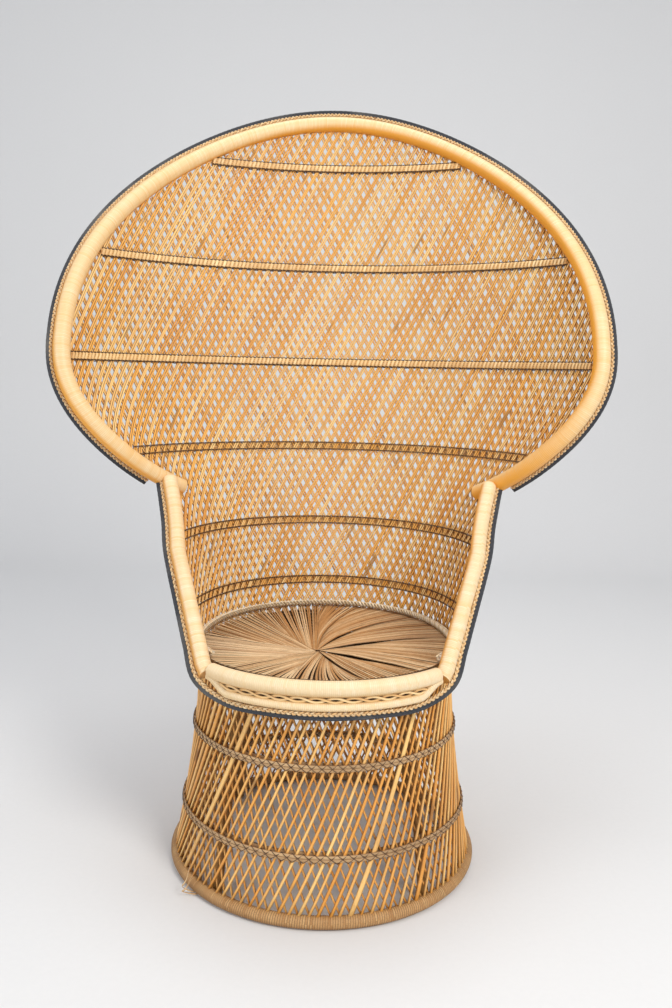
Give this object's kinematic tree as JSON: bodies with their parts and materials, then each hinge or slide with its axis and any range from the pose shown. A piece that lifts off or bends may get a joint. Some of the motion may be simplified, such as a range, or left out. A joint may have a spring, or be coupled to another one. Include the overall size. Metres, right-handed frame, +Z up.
{
  "type": "peacock_chair",
  "caption": "Rattan peacock chair with a tall fan-shaped openwork back on a bent pole, a tub with short arms, a dished cane seat and a round flared skirt base.",
  "frame": {"origin": "Middle of the chair's plan outline, on the floor.", "axes": "+X to the sitter's left, which is the right side seen from the front; -Y the way the sitter faces; +Z up."},
  "size_m": [1.0772, 0.7352, 1.5189],
  "materials": {
    "rattan_pole": "rattan pole wrapped in peeled cane, lacquered",
    "back_cane": "woven cane, lightly lacquered",
    "skirt_cane": "woven round cane, lightly lacquered",
    "peeled_cane": "flat peeled cane with dark lashings",
    "seat_cane": "dull woven cane",
    "rope_braid": "matt braided fibre rope",
    "dark_edging": "near-black dyed cane cord, worn"
  },
  "bodies": {
    "root": {"base_ring": "rattan_pole", "skirt_weave": "skirt_cane", "lower_hoop_inside": "peeled_cane", "lower_hoop_outside": "peeled_cane", "upper_hoop_inside": "peeled_cane", "upper_hoop_outside": "peeled_cane", "seat_pan": "seat_cane", "seat_ring": "rattan_pole", "frame_leg_1": "rattan_pole", "frame_leg_2": "rattan_pole", "frame_leg_3": "rattan_pole", "frame_leg_4": "rattan_pole", "seat_brace_1": "rattan_pole", "seat_brace_2": "rattan_pole", "seat_braid": "rope_braid", "front_rail": "rattan_pole", "slot_braid": "peeled_cane", "lower_rail": "rattan_pole", "right_arm": "rattan_pole", "left_arm": "rattan_pole", "front_edge_braid": "peeled_cane", "front_edge_cord": "dark_edging", "rim_pole": "rattan_pole", "rim_braid": "peeled_cane", "rim_cord": "dark_edging", "back_weave": "back_cane", "back_band_1_inside": "peeled_cane", "back_band_1_outside": "peeled_cane", "back_band_2_inside": "peeled_cane", "back_band_2_outside": "peeled_cane", "back_band_3_inside": "peeled_cane", "back_band_3_outside": "peeled_cane", "back_band_4_inside": "peeled_cane", "back_band_4_outside": "peeled_cane", "back_band_5_inside": "peeled_cane", "back_band_5_outside": "peeled_cane", "back_band_6_inside": "peeled_cane", "back_band_6_outside": "peeled_cane"}
  },
  "joints": []
}
